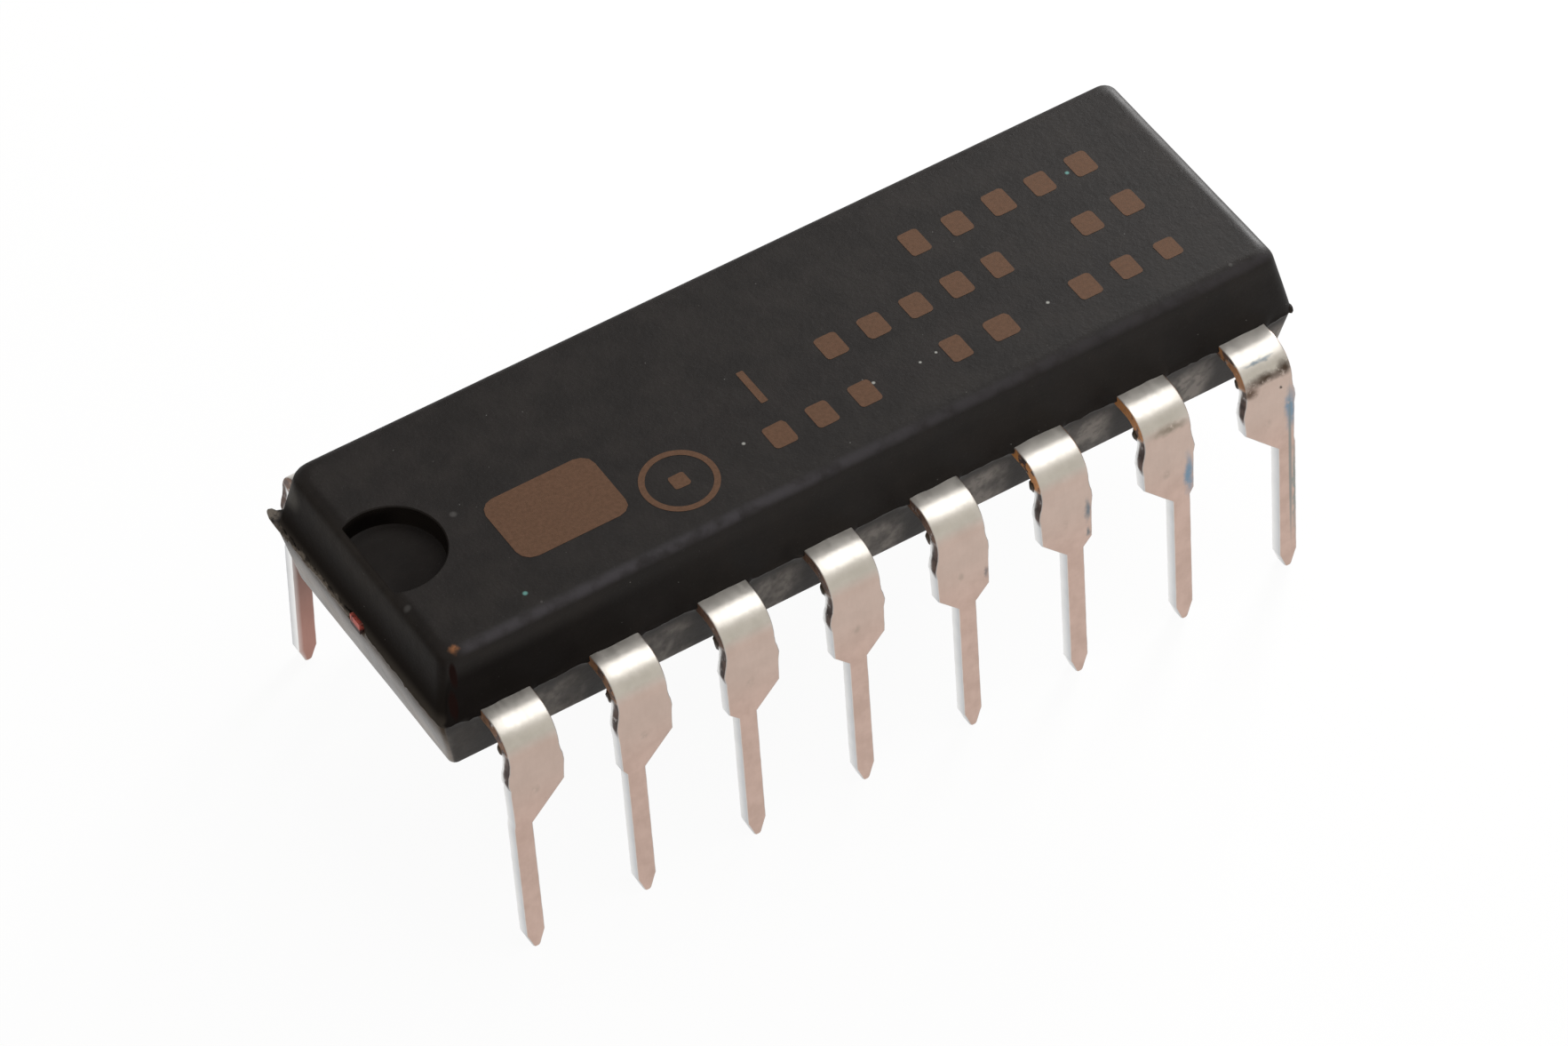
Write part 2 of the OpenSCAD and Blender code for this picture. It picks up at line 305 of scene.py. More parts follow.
def resin_material():
    """Black moulding resin with dust, dull walls, painted shade, painted highlights and torn flash, placed as
    on the chip in the photo.
    """
    n = Nodes("moulding_resin")
    x, z = n.axis(n.mm, 0), n.axis(n.mm, 2)
    normal = n.new("ShaderNodeNewGeometry").outputs["Normal"]
    east_share = n.axis(normal, 0)
    # where the skin is flat on top, where it is the notched end's wall, and where it is below the parting line
    flat = n.ramp(n.axis(normal, 2), 0.55, 0.97)
    west = n.ramp(east_share, -0.35, -0.7)
    lower = n.ramp(z, PART_Z + 0.01, PART_Z - 0.05)
    # the upper walls are dull and painted with shade towards the parting line; so are the recess, the pit round
    # the tie bar and the notched end's near corner
    high = n.math("SUBTRACT", 7.02, n.times(west, 0.12))
    low = n.math("SUBTRACT", 6.62, n.times(west, 0.57))
    dull = n.times(n.ramp(z, high, low), n.math("SUBTRACT", 1.0, flat))
    dull = n.times(dull, n.ramp(x, -9.3, -1.0, 1.0, 0.2))
    recess = n.blob((NOTCH_X, 0.0, BODY_TOP - 0.45), (1.6, 1.6, 0.7), 0.25)
    recess = n.times(recess, n.ramp(x, -9.49, -9.45), n.ramp(flat, 0.0, 1.0, 1.0, 0.25))
    corner = n.most(n.blob((-9.52, -3.16, 6.15), (0.12, 0.12, 0.65), 0.5),
                    n.blob((-9.40, -3.03, 6.82), (0.10, 0.10, 0.62), 0.5))
    pit = n.blob((-9.85, 0.0, PART_Z), (0.4, 0.42, 0.22), 0.5)
    dull = n.times(n.most(dull, corner, pit, recess), n.math("SUBTRACT", 1.0, lower))
    grain = n.noise(14, 4, 0.6)
    fine = n.noise(38, 2, 0.6, offset=(3, 8, 5))
    mottle = n.noise(1.1, 4, 0.6)
    cloudy = n.noise(1.7, 2, 0.5, stretch=(1.2, 0.5, 0.8), offset=(7, 3, 1))
    colour = n.mix(n.ramp(mottle, 0.35, 0.7), (0.0100, 0.0080, 0.0071), (0.0158, 0.0128, 0.0113))
    # dust caught in the skin: fine on the top and on the lower walls; along the near and end top edges a
    # painted highlight mixed with patchy dust
    patchy = n.ramp(n.noise(2.6, 3, 0.5), 0.25, 0.60, 0.35, 1.0)
    dust = n.times(n.ramp(fine, 0.60, 0.72), n.ramp(grain, 0.45, 0.65))
    colour = n.mix(n.times(dust, 0.4), colour, (0.055, 0.052, 0.052))
    near_edge_highlight = n.blob((0, -2.95, 7.29), (40.0, 0.23, 0.19), 0.8)
    near_edge_highlight = n.times(near_edge_highlight, n.ramp(x, -9.3, -8.9), n.ramp(x, 6.0, -5.0, 0.5, 0.9))
    end_edge_highlight = n.blob((-9.60, 0, 7.12), (0.35, 3.6, 0.62), 0.8)
    colour = n.mix(n.times(end_edge_highlight, n.times(patchy, 0.30)), colour, (0.043, 0.037, 0.031))
    colour = n.mix(n.times(near_edge_highlight, patchy), colour, (0.056, 0.052, 0.059))
    # painted shade: the dull places are darker, most of all the recess and the notched end's upper wall
    colour = n.mix(n.times(dull, 0.55), colour, (0.0055, 0.0045, 0.0042))
    deep_shade = n.times(dull, n.most(west, n.times(recess, 0.75)))
    darkest_shade = n.mix(west, (0.0022, 0.0017, 0.0015), (0.0150, 0.0125, 0.0108))
    colour = n.mix(n.times(deep_shade, 0.70), colour, darkest_shade)
    # on the notched end, lighter just above the parting line, and a painted highlight mixed with patchy dust at
    # the far corner
    above = n.times(n.ramp(z, PART_Z + 0.34, PART_Z + 0.02), n.times(west, 0.85))
    colour = n.mix(above, colour, (0.050, 0.043, 0.036))
    haze_highlight = n.blob((-9.64, 2.75, 6.80), (0.40, 0.50, 0.42), 0.9)
    colour = n.mix(n.times(haze_highlight, patchy), colour, (0.080, 0.074, 0.066))
    # dust on the lower walls, lighter between the leads: painted shade near the leads and the parting line,
    # painted light towards the plain end
    between = n.ramp(n.math("COSINE", n.times(x, 2 * math.pi / WIDE_PITCH)), -0.7, 0.8)
    between = n.times(between, n.ramp(z, 5.65, 5.15), n.ramp(east_share, 0.7, 0.35),
                      n.ramp(x, -9.6, -8.6, 0.45, 1.0),
                      n.ramp(n.noise(6, 3, 0.6, stretch=(1.0, 0.8, 0.8)), 0.34, 0.62, 0.65, 1.15))
    patches = n.times(n.most(between, west), n.ramp(cloudy, 0.36, 0.60, 0.3, 1.0))
    dust_and_shade = n.times(lower, n.ramp(patches, 0.0, 1.0, 0.10, 1.0, smooth=False))
    near_dust_and_light = n.mix(n.ramp(x, -8.0, 6.0), (0.155, 0.141, 0.128), (0.240, 0.219, 0.200))
    end_dust_and_shade = n.mix(n.ramp(z, 4.5, 5.4), (0.140, 0.098, 0.062), (0.062, 0.042, 0.026))
    colour = n.mix(dust_and_shade, colour, n.mix(west, near_dust_and_light, end_dust_and_shade))
    # a few pale specks
    rare = n.ramp(n.noise(2.3, 2, 0.5, offset=(31, 5, 2)), 0.60, 0.68)
    specks = n.times(n.ramp(n.cells(5.5), 0.10, 0.04), rare)
    colour = n.mix(specks, colour, (0.12, 0.12, 0.115))
    # pale torn flash along the notched end's parting line, and the ear at its far corner
    line = n.blob((-9.86, 1.5, PART_Z - 0.02), (0.2, 2.0, 0.17), 0.4, n.warped(0.30, 3.5))
    ear = n.blob((-9.80, 3.34, PART_Z), (0.22, 0.24, 0.2), 0.6)
    torn = n.times(n.most(line, ear), n.ramp(n.noise(8, 3, 0.6), 0.30, 0.55))
    colour = n.mix(n.times(torn, 0.8), colour, (0.17, 0.145, 0.12))
    # single grains, and the brown scuff on the near corner
    for x, y, r, tint in GRAINS:
        colour = n.mix(n.blob((x, y, BODY_TOP), (r, r, 0.2), 0.7), colour, tint)
    scuff = n.blob((-9.23, -2.83, 7.29), (0.14, 0.12, 0.25), 0.9, n.warped(0.2, 5))
    scuff = n.times(scuff, n.ramp(n.noise(6, 3, 0.6), 0.28, 0.55))
    colour = n.mix(scuff, colour, (0.24, 0.10, 0.04))
    # painted shade: the notched end's near corner darkened to a reddish black
    colour = n.mix(n.times(corner, 0.8), colour, (0.012, 0.0035, 0.0025))
    # shine: the top a little more towards the plain end's far corner, the dull and deep places hardly at all
    along = n.ramp(n.math("ADD", x, n.axis(n.mm, 1)), -12.0, 11.0)
    sheen = n.mix(west, (0.15, 0.15, 0.15), (0.045, 0.045, 0.045))
    sheen = n.mix(flat, sheen, n.mix(along, (0.16, 0.16, 0.16), (0.28, 0.28, 0.28)))
    sheen = n.mix(n.times(dull, 0.9), sheen, (0.02, 0.02, 0.02))
    sheen = n.mix(n.times(deep_shade, 0.95), sheen, (0.0, 0.0, 0.0))
    foot = n.mix(n.ramp(z, 5.6, 4.1), (0.01, 0.01, 0.01), (0.70, 0.70, 0.70))
    sheen = n.mix(lower, sheen, n.mix(west, (0.17, 0.17, 0.17), foot))
    rough = n.ramp(mottle, 0.3, 0.7, 0.50, 0.60, smooth=False)
    rough = n.math("SUBTRACT", rough, n.times(lower, west, 0.22))
    bumps = n.bump(grain, 0.004)
    bumps = n.bump(n.noise(4.5, 3, 0.6, offset=(2, 9, 4)), 0.014, 0.5, bumps)
    n.surface(Base_Color=colour, Roughness=rough, Normal=bumps, Specular_IOR_Level=n.axis(sheen, 0))
    return n.material


def tin_material():
    """Dull tin with warm painted reflections on its upright faces, painted shade and glints, sheared brown
    flanks, bare copper, stains and rusty tie bar ends.
    """
    n = Nodes("tinned_lead")
    facing = n.math("ABSOLUTE", n.axis(n.new("ShaderNodeNewGeometry").outputs["Normal"], 1))
    side, cut = n.attribute("side"), n.attribute("cut")
    inner, copper, depth = n.attribute("inner"), n.attribute("copper"), n.attribute("depth")
    across = n.attribute("across")
    z = n.axis(n.mm, 2)
    streaks = n.noise(5, 2, 0.5, stretch=(3.0, 0.5, 0.5))
    warped = n.warped(0.17, 4.5)
    mottle = n.noise(2.2, 4, 0.6)
    cloud = n.noise(4.5, 3, 0.6, offset=(5, 1, 9))
    # painted reflection: bright on the bends and the flat tops, warm on the faces that stand upright; painted
    # shade on the inner faces, darker upwards
    bright = n.mix(n.ramp(mottle, 0.3, 0.7), (0.71, 0.675, 0.625), (0.63, 0.60, 0.55))
    warm = n.mix(n.ramp(mottle, 0.3, 0.7), (0.57, 0.415, 0.350), (0.50, 0.360, 0.300))
    warm = n.mix(n.ramp(z, 3.4, 4.8, 0.0, 0.5), warm, (0.53, 0.435, 0.375))
    colour = n.mix(n.ramp(facing, 0.80, 0.99), bright, warm)
    shaded = n.mix(n.ramp(z, 0.6, 3.4), (0.33, 0.160, 0.128), (0.10, 0.048, 0.040))
    colour = n.mix(n.times(inner, 0.85), colour, shaded)
    # painted shade of a round dimple in the middle of each wide part
    u = n.math("DIVIDE", n.math("SUBTRACT", across, -0.06), 0.13)
    v = n.math("DIVIDE", n.math("SUBTRACT", z, 4.27), 0.16)
    reach = n.math("SQRT", n.math("ADD", n.times(u, u), n.times(v, v)))
    dimple_shade = n.times(n.ramp(reach, 1.0, 0.2), n.ramp(cloud, 0.35, 0.6))
    colour = n.mix(n.times(dimple_shade, 0.45), colour, (0.33, 0.27, 0.22))
    # painted light and shade on the flanks: near white towards the back, grey-blue towards the front edge
    colour = n.mix(side, colour, n.mix(depth, (0.55, 0.555, 0.565), (0.90, 0.895, 0.88)))
    # sheared flanks: brown where the dam bar was cut and round the bend, partly painted shade; copper showing
    # near the wall on some leads
    torn = n.times(cut, n.ramp(n.noise(6, 3, 0.6), 0.15, 0.45))
    brown = n.mix(n.ramp(cloud, 0.35, 0.65), (0.045, 0.026, 0.021), (0.12, 0.070, 0.053))
    colour = n.mix(torn, colour, brown)
    bare = n.times(copper, cut, n.ramp(n.noise(5, 3, 0.6, offset=(4, 4, 4)), 0.40, 0.52))
    colour = n.mix(bare, colour, (0.62, 0.27, 0.085))
    # stains, painted glints and scrapes on the near leads, then the cut ends of the tie bars
    for centre, radii, tint in STAINS_AND_GLINTS:
        spot = n.blob(centre, radii, 0.9, warped)
        spot = n.times(spot, n.ramp(n.noise(9, 3, 0.6, offset=(1, 6, 2)), 0.20, 0.48))
        colour = n.mix(spot, colour, tint)
        torn = n.most(torn, n.times(spot, 0.4))
    scrape = n.blob((8.96, -4.45, 2.9), (0.05, 0.6, 2.7), 0.6)
    colour = n.mix(n.times(scrape, 0.75), colour, (0.20, 0.235, 0.23))
    tie_end = n.most(*(n.blob((x, 0.0, 5.75), (0.3, 0.3, 0.3), 0.3) for x in (-9.87, 9.87)))
    # the tie bar ends: rust colour on top, painted shade darkening their lower part
    rust_above_shade = n.times(n.ramp(n.noise(7, 3, 0.6, offset=(8, 2, 2)), 0.30, 0.50), n.ramp(z, 5.68, 5.78))
    colour = n.mix(tie_end, colour, n.mix(rust_above_shade, (0.03, 0.010, 0.008), (0.50, 0.095, 0.068)))
    torn = n.most(torn, tie_end)
    rough = n.ramp(streaks, 0.3, 0.7, 0.34, 0.42, smooth=False)
    rough = n.most(rough, n.times(torn, 0.55))
    metal = n.ramp(torn, 0.0, 1.0, 1.0, 0.35)
    bumps = n.bump(streaks, 0.0012, 0.6)
    bumps = n.bump(n.noise(2.6, 2, 0.5, offset=(9, 9, 1)), 0.010, 0.6, bumps)
    n.surface(Base_Color=colour, Metallic=metal, Roughness=rough, Normal=bumps)
    return n.material


def plain_material(name, dark, light, rough, metallic, scale, bump=0.003, sheen=0.5):
    """A material with soft mottling between a dark and a light colour."""
    n = Nodes(name)
    cloud = n.noise(scale, 4, 0.6)
    n.surface(Base_Color=n.mix(n.ramp(cloud, 0.3, 0.7), dark, light), Metallic=metallic,
              Roughness=n.ramp(cloud, 0.3, 0.7, rough, rough + 0.12, smooth=False), Specular_IOR_Level=sheen,
              Normal=n.bump(n.noise(scale * 4, 3, 0.6), bump))
    return n.material


resin = resin_material()
tin = tin_material()
ink = plain_material("laser_marking", (0.090, 0.046, 0.025), (0.115, 0.060, 0.035), 0.65, 0.0, 12, sheen=0.15)
silicon = plain_material("silicon", (0.10, 0.11, 0.14), (0.16, 0.17, 0.21), 0.15, 0.9, 3)
attach = plain_material("die_bond", (0.42, 0.43, 0.45), (0.52, 0.53, 0.55), 0.4, 0.8, 6)
gold = plain_material("bond_gold", (0.75, 0.53, 0.20), (0.83, 0.62, 0.27), 0.2, 1.0, 20, 0.001)


def wall_levels():
    """(half height above the parting line, inset of the wall) from the parting line to the flat face."""
    def half(r):
        cut = r / math.tan((math.pi / 2 + DRAFT) / 2)
        top_inset = HALF_T * math.tan(DRAFT)
        start = HALF_T - cut * math.cos(DRAFT)
        heights = [0.0, 0.015, 0.035, 0.07, 0.12, 0.2] + [start * k / 11 for k in range(2, 12)]
        levels = [(h, h * math.tan(DRAFT)) for h in heights]
        arc = 7
        for k in range(1, arc + 1):
            a = DRAFT + (math.pi / 2 - DRAFT) * k / arc
            levels.append((HALF_T - r + r * math.sin(a), top_inset + cut - r * math.cos(a)))
        return levels
    drop = (HALF_T - SKIN_DROP) / HALF_T
    lower = [(PART_Z - h, i) for h, i in reversed(half(BOTTOM_ROUND))]
    upper = [(PART_Z + h * drop, i) for h, i in half(TOP_ROUND)]
    return lower + upper[1:]


def outline(z, inset):
    """Points round a level of the body, anticlockwise from the notch end's near corner."""
    hl, hw = BODY_HALF_L - inset, BODY_HALF_W - inset
    points = []
    along_l, along_w, corner = 160, 70, 5  # steps along the long and short sides, and round a corner
    share = limit((z - PART_Z) / 0.1 + 0.5)
    radii = [low + (high - low) * share for low, high in zip(LOWER_CORNERS, UPPER_CORNERS)]
    corners = [(-hl, -hw, radii[0], 180), (hl, -hw, radii[1], 270), (hl, hw, radii[2], 0),
               (-hl, hw, radii[3], 90)]
    for k, (x, y, r, start) in enumerate(corners):
        cx, cy = x - math.copysign(r, x), y - math.copysign(r, y)
        for j in range(corner + 1):
            a = math.radians(start + 90 * j / corner)
            points.append((cx + r * math.cos(a), cy + r * math.sin(a)))
        nx, ny, nr, nstart = corners[(k + 1) % 4]
        ncx, ncy = nx - math.copysign(nr, nx), ny - math.copysign(nr, ny)
        b = math.radians(nstart)
        end = (ncx + nr * math.cos(b), ncy + nr * math.sin(b))
        begin = points[-1]
        count = along_l if k % 2 == 0 else along_w
        points += [tuple(p + (q - p) * j / count for p, q in zip(begin, end)) for j in range(1, count)]
    return points


def rough_skin(x, y, z):
    """(outward, upward) unevenness of the moulded skin: flash along the parting line, collars over the leads'
    roots, a pit at the tie bar."""
    h = z - PART_Z
    collar_half = 0.76
    end = abs(x) > END_X
    stand, uneven, thick = (0.008, 0.018, 0.028) if end else (0.045, 0.030, 0.045)
    torn = limit(wobble(x * 3.5, y * 3.5, 4.0) + 0.6 * wobble(x * 9, y * 9, 7.0), -0.5)
    flash = (stand + uneven * torn) * math.exp(-(h / thick) ** 2)
    out = 0.004 * wobble(x * 2, y * 2, z * 2) + flash
    if not end:
        k = (abs(x) / WIDE_PITCH) % 1.0 - 0.5
        collar = limit(6 * (collar_half - abs(k) * WIDE_PITCH)) * math.exp(-((h - 0.08) / 0.15) ** 2)
        out = max(out, (0.12 + 0.03 * wobble(x * 3, y, 5.0)) * collar)
    near_line = math.exp(-(h / 0.11) ** 2)
    wave = 0.085 * (1.0 if x < -9.5 else 0.2)
    up = wave * near_line * (wobble(x * 3, y * 2.6, 1.0) + 0.8 * wobble(x * 7, y * 9, 2.0))
    if x < -END_X:
        pit_y, pit_half_y, pit_half_z, pit_deep = 0.02, 0.38, 0.19, 0.10
        pit = 1 - ((y - pit_y) / pit_half_y) ** 2 - (h / pit_half_z) ** 2
        out -= pit_deep * limit(pit * 1.6)
    return out, up


def build_body():
    """The body's rough skin, with the recess cut into it."""
    levels = wall_levels()
    cap_in = 0.06
    rings = [(levels[0][0], levels[0][1] + cap_in)] + levels + [(levels[-1][0], levels[-1][1] + cap_in)]
    verts = []
    for z, inset in rings:
        for x, y in outline(z, inset):
            if abs(x / BODY_HALF_L) > abs(y / BODY_HALF_W):
                side = Vector((math.copysign(1, x), 0, 0))
            else:
                side = Vector((0, math.copysign(1, y), 0))
            outward, upward = rough_skin(x, y, z)
            p = Vector((x, y, z + upward)) + side * outward
            p.x = limit(p.x, -LONGEST, LONGEST)
            verts.append(p)
    body = make_object("body_skin", verts, stacked(len(verts) // len(rings), len(rings)), [resin])
    cutter = notch_cutter()
    cut = body.modifiers.new("notch", "BOOLEAN")
    cut.object, cut.operation, cut.solver = cutter, "DIFFERENCE", "EXACT"
    evaluated = body.evaluated_get(bpy.context.evaluated_depsgraph_get())
    mesh = bpy.data.meshes.new_from_object(evaluated)
    body.modifiers.clear()
    body.data = mesh
    bpy.data.objects.remove(cutter)
    mesh.shade_smooth()
    mesh.set_sharp_from_angle(angle=math.radians(SHARP))
    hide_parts("moulded_body")


def notch_cutter():
    """Solid for the recess: round, straight behind the lip, with a small flare at its rim."""
    floor = BODY_TOP - NOTCH_DEEP
    levels = [(floor, -0.10), (floor + 0.03, -0.03), (floor + 0.10, 0.0),
              (BODY_TOP - 0.03, 0.0), (BODY_TOP, 0.03), (BODY_TOP + 0.2, 0.23)]
    verts = []
    steps, straight = 56, 12
    for z, grow in levels:
        r = NOTCH_R + grow
        flat = NOTCH_FLAT_X - min(grow, 0.0)
        a = math.acos((flat - NOTCH_X) / r)
        ring = [(NOTCH_X + r * math.cos(t), r * math.sin(t)) for t in
                (-a + 2 * a * k / steps for k in range(steps + 1))]
        h = r * math.sin(a)
        ring += [(flat, h - 2 * h * k / straight) for k in range(1, straight)]
        verts += [(x, y, z) for x, y in ring]
    return make_object("notch_cutter", verts, stacked(steps + straight, len(levels)), [resin])


def pin_x(i):
    """Middle of the pin of lead i along its row."""
    return (i - MIDDLE_LEAD) * PIN_PITCH


def wide_x(i):
    """Middle of the wide part of lead i along its row."""
    return (i - MIDDLE_LEAD) * WIDE_PITCH


def lead_edges(i):
    """(left, right) outlines of near lead i: (z, x) points from its top down to its tip."""
    p, w = pin_x(i), wide_x(i)
    both = []
    for s in (-1, 1):
        wide, pin, tip = w + s * WIDE_W / 2, p + s * PIN_W / 2, p + s * TIP_W / 2
        neck = w + s * NECK_W / 2
        step = max(abs(wide - pin), 0.15)
        both.append([(ABOVE_BEND, neck), (LEG_TOP - 0.04, neck), (DAM_TOP, neck + s * 0.02),
                     (DAM_TOP - 0.12, wide + s * 0.3 * DAM_OUT), (DAM_Z + 0.2, wide + s * 0.7 * DAM_OUT),
                     (DAM_Z, wide + s * 0.2 * DAM_OUT), (PIN_LEN + step, wide - s * 0.008),
                     (PIN_LEN, pin), (TIP_LEN, pin), (TIP_LEN - 0.09, pin - s * 0.035),
                     (0.03, tip), (0.0, tip - s * 0.025)])
    return both


def lead_stations(i):
    """(y, z, normal angle, z used for the outline) down a near lead from inside the wall to its tip."""
    stations = [(-ROOT_Y, LEAD_TOP, 0.0, ABOVE_BEND)]
    stations += [(-ROOT_Y - (BEND_Y - ROOT_Y) * k / 4, LEAD_TOP, 0.0, ABOVE_BEND) for k in range(1, 4)]
    steps = 20
    for k in range(steps + 1):
        a = (math.pi / 2 - SPLAY) * k / steps
        stations.append((-BEND_Y - BEND_R * math.sin(a), BEND_Z + BEND_R * math.cos(a), a, ABOVE_BEND))
    left, right = lead_edges(i)
    heights = {z for z, _ in left + right if z < LEG_TOP - 0.02}
    margin, apart = 0.1, 0.12
    z = LEG_TOP - margin
    while z > margin:
        heights.add(z)
        z -= apart
    y0, z0 = stations[-1][:2]
    for h in sorted(heights, reverse=True):
        stations.append((y0 - (z0 - h) * math.tan(SPLAY), h, math.pi / 2 - SPLAY, h))
    return stations


def sheared(z, a, depth):
    """How brown a flank is, 0 to 1: all of it round the bend, where the brown is partly painted shade, then a
    soft oval at the dam bar's cut.
    """
    bend_end, bend_fade = math.radians(78), math.radians(12)
    cut_z, cut_half_z = 5.02, 0.50
    cut_depth, cut_half_depth = 0.06, 0.15
    steep = 2.2
    bend = limit((bend_end - a) / bend_fade)
    oval = 1 - ((z - cut_z) / cut_half_z) ** 2 - ((depth - cut_depth) / cut_half_depth) ** 2
    return max(bend, limit(oval * steep))


def cross_section(xl, xr):
    """(x, depth, share of flank) points round a lead between xl and xr; depth runs inwards from its front."""
    worn_edge = 0.03
    r = min(worn_edge, (xr - xl) * 0.3)
    across, turns = 4, 3
    flank = (0.07, 0.12, 0.17, 0.22)

    def rounded(cx, cy, start, steps):
        points = []
        for k in steps:
            a = math.radians(start + 90 * k / turns)
            c, s = math.cos(a), math.sin(a)
            points.append((cx + r * c, cy + r * s, 1.0 if abs(c) > abs(s) else 0.3))
        return points

    run = xr - xl - 2 * r
    ring = [(xl + r + run * k / across, 0.0, 0.0) for k in range(across + 1)]
    ring += rounded(xr - r, r, -90, range(1, turns + 1))
    ring += [(xr, d, 1.0) for d in flank]
    ring += rounded(xr - r, LEAD_T - r, 0, range(turns + 1))
    ring += [(xr - r - run * k / across, LEAD_T, 0.0) for k in range(1, across + 1)]
    ring += rounded(xl + r, LEAD_T - r, 90, range(1, turns + 1))
    ring += [(xl, d, 1.0) for d in reversed(flank)]
    return ring + rounded(xl + r, r, 180, range(turns))


def build_leg(i, far):
    """Vertices, faces and masks of the part of a lead outside the body."""
    left, right = lead_edges(i)
    bare = 0.15 if far else COPPER.get(i, 0.12)
    bare_until = 1.25  # radians round the bend
    seed = 3.1 * (i + (20 if far else 0))
    wave, more_at_dam, waves_from, waves_to = 0.005, 0.010, 0.2, 5.2
    masks = {key: [] for key in ("side", "cut", "inner", "copper", "across", "depth")}
    verts = []
    for y, z, a, h in lead_stations(i):
        xl, xr = piecewise(left, h), piecewise(right, h)
        amount = wave + (more_at_dam if DAM_Z - 0.1 < h < DAM_TOP + 0.1 else 0.0)
        if waves_from < h < waves_to:
            xl += amount * wobble(seed, h * 5.0)
            xr += amount * wobble(seed + 50, h * 5.0)
        inward = Vector((0, math.sin(a), -math.cos(a)))
        ring = cross_section(xl, xr)
        for x, depth, s in ring:
            p = Vector((0, y, z)) + inward * depth
            verts.append(Vector((x, p.y, max(p.z, 0.0))))
            masks["side"].append(s)
            masks["cut"].append(s * sheared(z, a, depth))
            masks["depth"].append(depth / LEAD_T)
            masks["inner"].append(1.0 if depth > LEAD_T - 0.01 else 0.0)
            masks["copper"].append(bare if a < bare_until else 0.0)
            masks["across"].append(x - wide_x(i))
    if far:
        verts = [Vector((-v.x, -v.y, v.z)) for v in verts]
    return verts, stacked(len(ring), len(verts) // len(ring)), masks


def inner_part(node):
    """The CAD node's mesh inside the walls, as millimetre vertices and faces."""
    overlap, snap = 0.05, 1e-9
    bm = bmesh.new()
    bm.from_mesh(nodes[node].data)
    for s in (-1, 1):
        geometry = bm.verts[:] + bm.edges[:] + bm.faces[:]
        cut = bmesh.ops.bisect_plane(bm, geom=geometry, dist=snap, plane_co=(0, s * (ROOT_Y + overlap) * MM, 0),
                                     plane_no=(0, s, 0), clear_outer=True)
        edges = [e for e in cut["geom_cut"] if isinstance(e, bmesh.types.BMEdge)]
        bmesh.ops.holes_fill(bm, edges=edges)
    bmesh.ops.triangulate(bm, faces=bm.faces)
    bm.verts.ensure_lookup_table()
    verts = [v.co / MM for v in bm.verts]
    faces = [tuple(v.index for v in f.verts) for f in bm.faces]
    bm.free()
    return verts, faces


def build_lead(node, legs):
    """One piece for a CAD node: its part inside the walls with its legs outside."""
    verts, faces = inner_part(node)
    inside = len(verts)
    masks = {}
    for i, far in legs:
        leg_verts, leg_faces, leg_masks = build_leg(i, far)
        join(verts, faces, leg_verts, leg_faces)
        for key, data in leg_masks.items():
            masks.setdefault(key, [0.0] * inside).extend(data)
    piece = make_object(node + "_tinned", verts, faces, [tin], values=masks)
    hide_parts(node)


# heights between which the marks lie
MARK_LOW, MARK_TOP = BODY_TOP - 0.04, BODY_TOP - 0.001
BLOCK_STEP = 0.98  # from one small block of a row to the next


def prism(ring, low, high):
    """Vertices and faces of an upright closed solid over a ring of (x, y) points."""
    return [(x, y, z) for z in (low, high) for x, y in ring], stacked(len(ring), 2)


def patch(x, y, w, h, seed):
    """A soft-edged rectangle's outline, with corners a little rounded and edges a little uneven."""
    r, points = min(w, h) * 0.18, []
    for cx, cy, start in ((w - r, h - r, 0), (r, h - r, 90), (r, r, 180), (w - r, r, 270)):
        for k in range(4):
            a = math.radians(start + 30 * k)
            shake = 0.012 * wobble(seed * 2.3 + k, start * 0.1)
            points.append((x + cx + (r + shake) * math.cos(a), y + cy + (r + shake) * math.sin(a)))
    return points


def ring_mark(cx, cy, outer, inner):
    """Vertices and faces of a flat ring."""
    steps = 64
    verts, faces = [], []
    for k in range(steps):
        c, s = math.cos(2 * math.pi * k / steps), math.sin(2 * math.pi * k / steps)
        for r, z in ((inner, MARK_LOW), (outer, MARK_LOW), (outer, MARK_TOP), (inner, MARK_TOP)):
            verts.append((cx + r * c, cy + r * s, z))
    for k in range(steps):
        a, b = 4 * k, 4 * ((k + 1) % steps)
        faces += [(a + j, a + (j + 1) % 4, b + (j + 1) % 4, b + j) for j in range(4)]
    return verts, faces


def build_marking():
    """Plain brown fields and shapes where the print was: a field, a ring and three rows of small blocks."""
    parts = [prism(patch(-7.0, -1.72, 2.45, 1.75, 1), MARK_LOW, MARK_TOP),
             ring_mark(-3.44, -1.58, 0.80, 0.67),
             prism(patch(-3.62, -1.76, 0.36, 0.36, 2), MARK_LOW, MARK_TOP),
             prism(patch(-1.05, -0.75, 0.16, 0.95, 3), MARK_LOW, MARK_TOP)]
    # rows of blocks: first x, last x, foot y
    rows = [(3.55, 8.4, 0.80), (0.65, 5.4, -0.62), (6.65, 8.4, -0.62),
            (-1.45, 1.4, -2.05), (2.65, 4.4, -2.05), (5.65, 8.4, -2.05)]
    seed = 5
    for first, last, foot in rows:
        for k in range(round((last - first) / BLOCK_STEP)):
            seed += 1
            w = 0.50 + 0.14 * wobble(seed * 1.7, 3.0)
            h = 0.62 + 0.16 * wobble(seed * 2.9, 9.0)
            parts.append(prism(patch(first + BLOCK_STEP * k, foot + 0.1, w, h, seed), MARK_LOW, MARK_TOP))
    verts, faces = [], []
    for part in parts:
        join(verts, faces, *part)
    make_object("marking", verts, faces, [ink])


